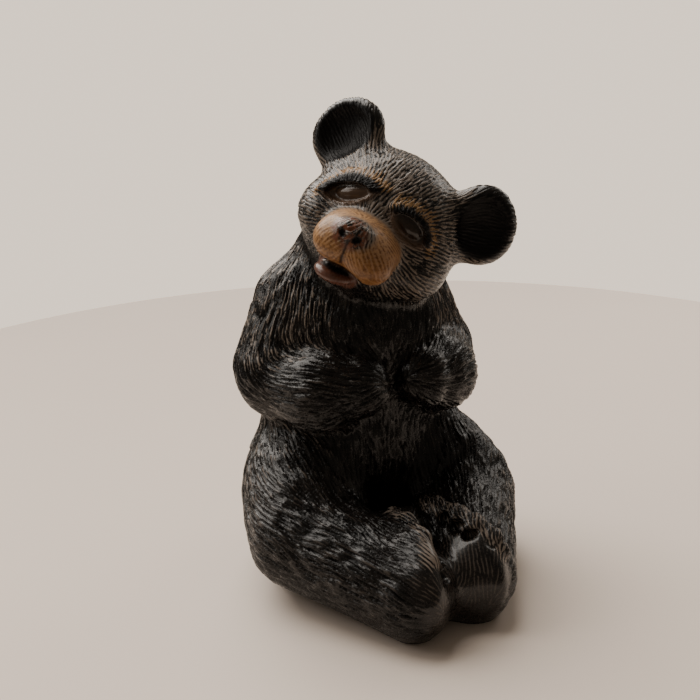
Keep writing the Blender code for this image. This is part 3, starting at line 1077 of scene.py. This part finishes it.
class Tree:
    """Writes nodes into a material or a node group."""

    def __init__(self, tree: bpy.types.NodeTree) -> None:
        """Starts on a tree."""
        self.tree = tree
        self.count = 0

    def node(self, kind: str, **settings: object) -> bpy.types.Node:
        """A new node of a kind, with its settings."""
        node = self.tree.nodes.new("ShaderNode" + kind)
        node.location = (-1800 + 180 * (self.count % 10), 400 - 220 * (self.count // 10))
        self.count += 1
        for name, value in settings.items():
            setattr(node, name, value)
        return node

    def feed(self, node: bpy.types.Node, **inputs: object) -> bpy.types.Node:
        """Link or set inputs, named with _ for a space."""
        for name, value in inputs.items():
            self.put(node.inputs[name.replace("_", " ")], value)
        return node

    def put(self, socket: Socket, value: object) -> None:
        """Link a socket to another, or set it to a number or a colour."""
        if isinstance(value, bpy.types.NodeSocket):
            self.tree.links.new(value, socket)
        elif isinstance(value, tuple) and len(value) == 3 and socket.type == "RGBA":
            socket.default_value = (*value, 1.0)
        else:
            socket.default_value = value

    def mask(self, mask: Mask) -> Socket:
        """A vertex attribute."""
        return self.node("Attribute", attribute_name=mask.value).outputs["Fac"]

    def math(self, operation: str, *values: object, clamp: bool = False) -> Socket:
        """A sum, product or other operation."""
        node = self.node("Math", operation=operation, use_clamp=clamp)
        for socket, value in zip(node.inputs, values):
            self.put(socket, value)
        return node.outputs[0]

    def ramp(self, value: Socket, low: object, high: object, start: float = 0.0, end: float = 1.0) -> Socket:
        """A smooth step from start at low to end at high."""
        node = self.node("MapRange", interpolation_type="SMOOTHSTEP")
        self.feed(node, Value=value, From_Min=low, From_Max=high, To_Min=start, To_Max=end)
        return node.outputs["Result"]

    def blend(self, factor: object, first: object, second: object) -> Socket:
        """A mix of two colours."""
        node = self.node("Mix", data_type="RGBA")
        self.put(node.inputs[0], factor)
        self.put(node.inputs[6], first)
        self.put(node.inputs[7], second)
        return node.outputs[2]

    def strokes(self, scale: float, frequency: float) -> Socket:
        """Short strokes along the fur, scale being the number of their lengths in a metre."""
        node = self.node("TexGabor", gabor_type="3D")
        self.feed(node, Scale=scale, Frequency=frequency, Anisotropy=1.0)
        self.put(node.inputs["Vector"], self.node("TexCoord").outputs["Object"])
        orientation = next(socket for socket in node.inputs if socket.identifier == "Orientation 3D")
        self.put(orientation, self.node("Attribute", attribute_name=ACROSS).outputs["Vector"])
        return node.outputs["Value"]

    def noise(self, scale: float, detail: float = 3.0, rough: float = 0.55) -> Socket:
        """Noise on object coordinates, scale being the number of its waves in a metre."""
        place = self.node("TexCoord").outputs["Object"]
        node = self.node("TexNoise")
        self.feed(node, Vector=place, Scale=scale, Detail=detail, Roughness=rough)
        return node.outputs[0]


def brushed_tips_and_highlights() -> bpy.types.NodeTree:
    """A node group that drags a nearly dry brush over the carving, so that paint catches on its ridges; for the
    body's grey that paint is partly painted highlights.

    Returns:
        The group, with the colour and the mask of the paint as outputs.
    """
    group = bpy.data.node_groups.new("brushed_tips_and_highlights", "ShaderNodeTree")
    for name in ("Under", "Paint"):
        group.interface.new_socket(name, in_out="INPUT", socket_type="NodeSocketColor")
    for name in ("Amount", "Ridge", "Grain"):
        group.interface.new_socket(name, in_out="INPUT", socket_type="NodeSocketFloat")
    group.interface.new_socket("Colour", in_out="OUTPUT", socket_type="NodeSocketColor")
    group.interface.new_socket("Mask", in_out="OUTPUT", socket_type="NodeSocketFloat")
    tree = Tree(group)
    start = group.nodes.new("NodeGroupInput").outputs
    end = group.nodes.new("NodeGroupOutput").inputs
    height = tree.math("ADD", start["Ridge"], tree.math("MULTIPLY", tree.math("SUBTRACT", start["Grain"], 0.5), 0.9))
    edge = tree.math("SUBTRACT", 1.15, tree.math("MULTIPLY", start["Amount"], 1.25))
    mask = tree.ramp(height, tree.math("SUBTRACT", edge, 0.12), tree.math("ADD", edge, 0.4))
    mask = tree.math("MULTIPLY", mask, tree.ramp(start["Amount"], 0.0, 0.12))
    tree.put(end["Mask"], mask)
    tree.put(end["Colour"], tree.blend(mask, start["Under"], start["Paint"]))
    return group


@dataclass(frozen=True)
class Glaze:
    """The cub's one finish: dark glossy glaze with brushed and painted places, some of them painted highlights and
    painted shade.
    """

    black: Colour = (0.004, 0.0036, 0.0035)
    brown: Colour = (0.011, 0.0085, 0.007)
    # Grey tips, which on the body are partly painted highlights
    grey: Colour = (0.22, 0.178, 0.145)
    gold: Colour = (0.28, 0.155, 0.06)
    tan: Colour = (0.62, 0.33, 0.13)
    rust: Colour = (0.4, 0.16, 0.045)
    umber: Colour = (0.16, 0.06, 0.018)
    leather: Colour = (0.17, 0.06, 0.03)
    # Near black for the painted shade in hollows and for the lash bands
    soot: Colour = (0.004, 0.003, 0.003)
    lip: Colour = (0.13, 0.058, 0.04)
    iris: Colour = (0.02, 0.013, 0.009)
    lid: Colour = (0.15, 0.095, 0.062)
    gloss: float = 0.2
    coat: float = 0.4
    coat_roughness: float = 0.12
    matt_muzzle: float = 0.75
    matt_groove: float = 0.8
    strokes_per_metre: float = 200.0
    strokes_abreast: float = 3.3
    stroke_depth: float = 0.0005

    def material(self) -> bpy.types.Material:
        """The glaze as a material: black glaze, grey tips that on the body are partly painted highlights, golden
        tips, then the face from the muzzle to the eyes, and painted shade in the hollows last.
        """
        made = bpy.data.materials.new("bear_cub_glaze")
        made.use_nodes = True
        tree = Tree(made.node_tree)
        shader = made.node_tree.nodes["Principled BSDF"]
        tips = brushed_tips_and_highlights()
        grain = tree.noise(900.0, 4.0, 0.6)
        cloud = tree.noise(60.0, 3.0)
        ridge = tree.mask(Mask.RIDGE)
        strand = tree.ramp(tree.strokes(self.strokes_per_metre, self.strokes_abreast), 0.3, 0.72)
        grain_hair = tree.math("ADD", tree.math("MULTIPLY", tree.math("SUBTRACT", strand, 0.5), 1.2), grain)

        def brush(under: Socket, paint: Colour, amount: Socket) -> tuple[Socket, Socket]:
            """The colour with paint brushed over its ridges, which for the body's grey is partly painted highlights,
            and where it lies.
            """
            node = tree.node("Group", node_tree=tips)
            tree.feed(node, Under=under, Paint=paint, Amount=amount, Ridge=ridge, Grain=grain_hair)
            return node.outputs["Colour"], node.outputs["Mask"]

        base = tree.blend(tree.ramp(cloud, 0.35, 0.7), self.black, self.brown)
        amount = tree.math("MULTIPLY", tree.mask(Mask.BRUSH), tree.ramp(cloud, 0.2, 0.8, 0.8, 1.15))
        # Grey brushed tips on the head; on the body the grey is partly painted highlights on the ridges
        colour, greyed = brush(base, self.grey, amount)
        colour, gilded = brush(colour, self.gold, tree.mask(Mask.GOLD))
        tan = tree.blend(tree.mask(Mask.RUST), self.tan, self.rust)
        rubbed = tree.ramp(tree.math("ADD", grain, tree.math("MULTIPLY", strand, 0.12)), 0.36, 0.66, 0.8, 0.0)
        tan = tree.blend(rubbed, tan, self.umber)
        tan_mask = tree.mask(Mask.TAN)
        colour = tree.blend(tan_mask, colour, tan)
        mottle = tree.ramp(tree.noise(330.0, 4.0, 0.7), 0.42, 0.56)
        nose = tree.math("MULTIPLY", tree.mask(Mask.NOSE), mottle)
        colour = tree.blend(nose, colour, self.leather)
        lip = tree.mask(Mask.LIP)
        colour = tree.blend(lip, colour, self.lip)
        eye = tree.mask(Mask.EYE)
        colour = tree.blend(eye, colour, self.iris)
        colour = tree.blend(tree.mask(Mask.LID), colour, self.lid)
        # Painted shade in the hollows of the face and ears, and the black lash bands, laid over all else
        soot = tree.mask(Mask.SOOT)
        colour = tree.blend(soot, colour, self.soot)
        shader_in = shader.inputs
        tree.put(shader_in["Base Color"], colour)
        painted = tree.math("MAXIMUM", tree.math("MAXIMUM", greyed, gilded), tree.math("MAXIMUM", tan_mask, soot))
        rough = tree.math("ADD", tree.math("MULTIPLY", painted, 0.2), tree.ramp(grain, 0.2, 0.8, 0.2, 0.34))
        polish = tree.math("SUBTRACT", 1.0, tree.math("MULTIPLY", eye, 0.6))
        tree.put(shader_in["Roughness"], tree.math("MULTIPLY", rough, polish))
        dull = tree.math("MAXIMUM", tree.math("MULTIPLY", tan_mask, self.matt_muzzle), soot)
        dull = tree.math("MAXIMUM", dull, tree.math("SUBTRACT", self.matt_groove, ridge))
        tree.put(shader_in["Coat Weight"], tree.math("MULTIPLY", tree.math("SUBTRACT", 1.0, dull), self.coat))
        smooth = tree.math("MAXIMUM", eye, tree.mask(Mask.PAD))
        fur = tree.math("MAXIMUM", tree.math("SUBTRACT", 1.0, smooth), tree.math("MULTIPLY", tan_mask, 0.25))
        fur = tree.math("MULTIPLY", fur, tree.math("SUBTRACT", 1.0, nose))
        height = tree.math("ADD", tree.math("MULTIPLY", strand, fur), tree.math("MULTIPLY", grain, 0.25))
        bump = tree.node("Bump")
        tree.feed(bump, Strength=0.8, Distance=self.stroke_depth, Height=height)
        tree.put(shader_in["Normal"], bump.outputs["Normal"])
        shader_in["Coat Roughness"].default_value = self.coat_roughness
        shader_in["Specular IOR Level"].default_value = self.gloss
        return made


@dataclass(frozen=True)
class Studio:
    """Pale floor, soft lights and the photograph's camera."""

    target: Point = (0.0010, 0.0250, 0.0948)
    distance: float = 0.396
    azimuth: float = -25.0
    elevation: float = 15.0
    roll: float = -1.6
    lens: float = 46.3
    shift: tuple[float, float] = (-0.01214, -0.0073)
    floor_radius: float = 0.42
    floor_shift: float = 0.24
    floor_colour: Colour = (0.74, 0.64, 0.56)
    air_colour: Colour = (1.0, 0.85, 0.69)
    seen_light: float = 1.38
    wall_light: float = 0.25
    open_light: float = 0.14
    sun_place: Point = (-0.15, 0.7, 1.0)
    sun_power: float = 4.5
    sun_breadth: float = 60.0
    lamps: tuple[tuple[str, Point, float], ...] = (
        ("left_light", (-0.55, 0.2, 0.45), 1.2),
        ("right_light", (0.6, 0.2, 0.45), 0.8),
    )
    lamp_size: float = 0.35
    lamp_colour: Colour = (1.0, 0.94, 0.87)

    def set_camera(self) -> None:
        """Put the camera at the photograph's place and make it the scene's."""
        turn_by, lift = math.radians(self.azimuth), math.radians(self.elevation)
        back = Vector((math.sin(turn_by) * math.cos(lift), -math.cos(turn_by) * math.cos(lift), math.sin(lift)))
        aim = back.to_track_quat("Z", "Y").to_matrix().to_4x4()
        place = Matrix.Translation(Vector(self.target) + back * self.distance)
        data = bpy.data.cameras.new("photo_camera")
        data.lens, data.shift_x, data.shift_y = self.lens, *self.shift
        data.clip_start, data.clip_end = 0.01, 20.0
        camera = bpy.data.objects.new("photo_camera", data)
        camera.matrix_world = place @ aim @ Matrix.Rotation(math.radians(self.roll), 4, "Z")
        bpy.context.scene.collection.objects.link(camera)
        bpy.context.scene.camera = camera

    def lay_floor(self) -> None:
        """A round pale floor."""
        bpy.ops.object.select_all(action="DESELECT")
        turn_by = math.radians(self.azimuth)
        middle = (-math.sin(turn_by) * self.floor_shift, math.cos(turn_by) * self.floor_shift, 0)
        bpy.ops.mesh.primitive_circle_add(vertices=128, radius=self.floor_radius, fill_type="NGON", location=middle)
        floor = bpy.context.object
        floor.name = "studio_floor"
        made = bpy.data.materials.new("pale_floor")
        made.use_nodes = True
        tree = Tree(made.node_tree)
        shader = made.node_tree.nodes["Principled BSDF"]
        shade = tuple(c * 0.96 for c in self.floor_colour)
        tree.put(shader.inputs["Base Color"], tree.blend(tree.noise(6.0, 2.0), self.floor_colour, shade))
        shader.inputs["Roughness"].default_value = 0.9
        floor.data.materials.append(made)

    def hang_light(self, name: str, place: Point, power: float) -> None:
        """A square soft light that faces the figure."""
        data = bpy.data.lights.new(name, "AREA")
        data.size, data.energy, data.color = self.lamp_size, power, self.lamp_colour
        lamp = bpy.data.objects.new(name, data)
        aim = (Vector(place) - Vector(self.target)).to_track_quat("Z", "Y").to_matrix().to_4x4()
        lamp.matrix_world = Matrix.Translation(place) @ aim
        lamp.visible_camera = False
        bpy.context.scene.collection.objects.link(lamp)

    def light(self) -> None:
        """A soft sun, a lamp on each side, and the pale walls of a light box that is open at the front."""
        for name, place, power in self.lamps:
            self.hang_light(name, place, power)
        sun = bpy.data.lights.new("soft_sun", "SUN")
        sun.energy, sun.angle, sun.color = self.sun_power, math.radians(self.sun_breadth), self.lamp_colour
        lamp = bpy.data.objects.new("soft_sun", sun)
        lamp.matrix_world = Vector(self.sun_place).to_track_quat("Z", "Y").to_matrix().to_4x4()
        bpy.context.scene.collection.objects.link(lamp)
        world = bpy.data.worlds.new("pale_air")
        world.use_nodes = True
        nodes, links = world.node_tree.nodes, world.node_tree.links
        tree = Tree(world.node_tree)
        background = nodes["Background"]
        background.inputs["Color"].default_value = (*self.air_colour, 1.0)
        facing = tree.node("VectorMath", operation="DOT_PRODUCT")
        links.new(tree.node("TexCoord").outputs["Generated"], facing.inputs[0])
        turn_by = math.radians(self.azimuth)
        facing.inputs[1].default_value = (math.sin(turn_by), -math.cos(turn_by), 0.0)
        lit = tree.ramp(facing.outputs["Value"], -0.4, 0.5, self.wall_light, self.open_light)
        seen = tree.node("LightPath").outputs["Is Camera Ray"]
        strength = tree.math("MAXIMUM", lit, tree.math("MULTIPLY", seen, self.seen_light))
        links.new(strength, background.inputs["Strength"])
        bpy.context.scene.world = world


def main() -> None:
    """Build the cub, dress it, and set up the studio."""
    logging.basicConfig(level=logging.INFO, format="%(name)s: %(relativeCreated)d ms: %(message)s")
    cub = Figure().build()
    cub.data.materials.clear()
    cub.data.materials.append(Glaze().material())
    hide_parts(NODE)
    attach(cub, "root")
    LOG.info("%s: %d triangles", cub.name, len(cub.data.polygons))
    studio = Studio()
    studio.lay_floor()
    studio.set_camera()
    studio.light()


if __name__ == "__main__":
    main()
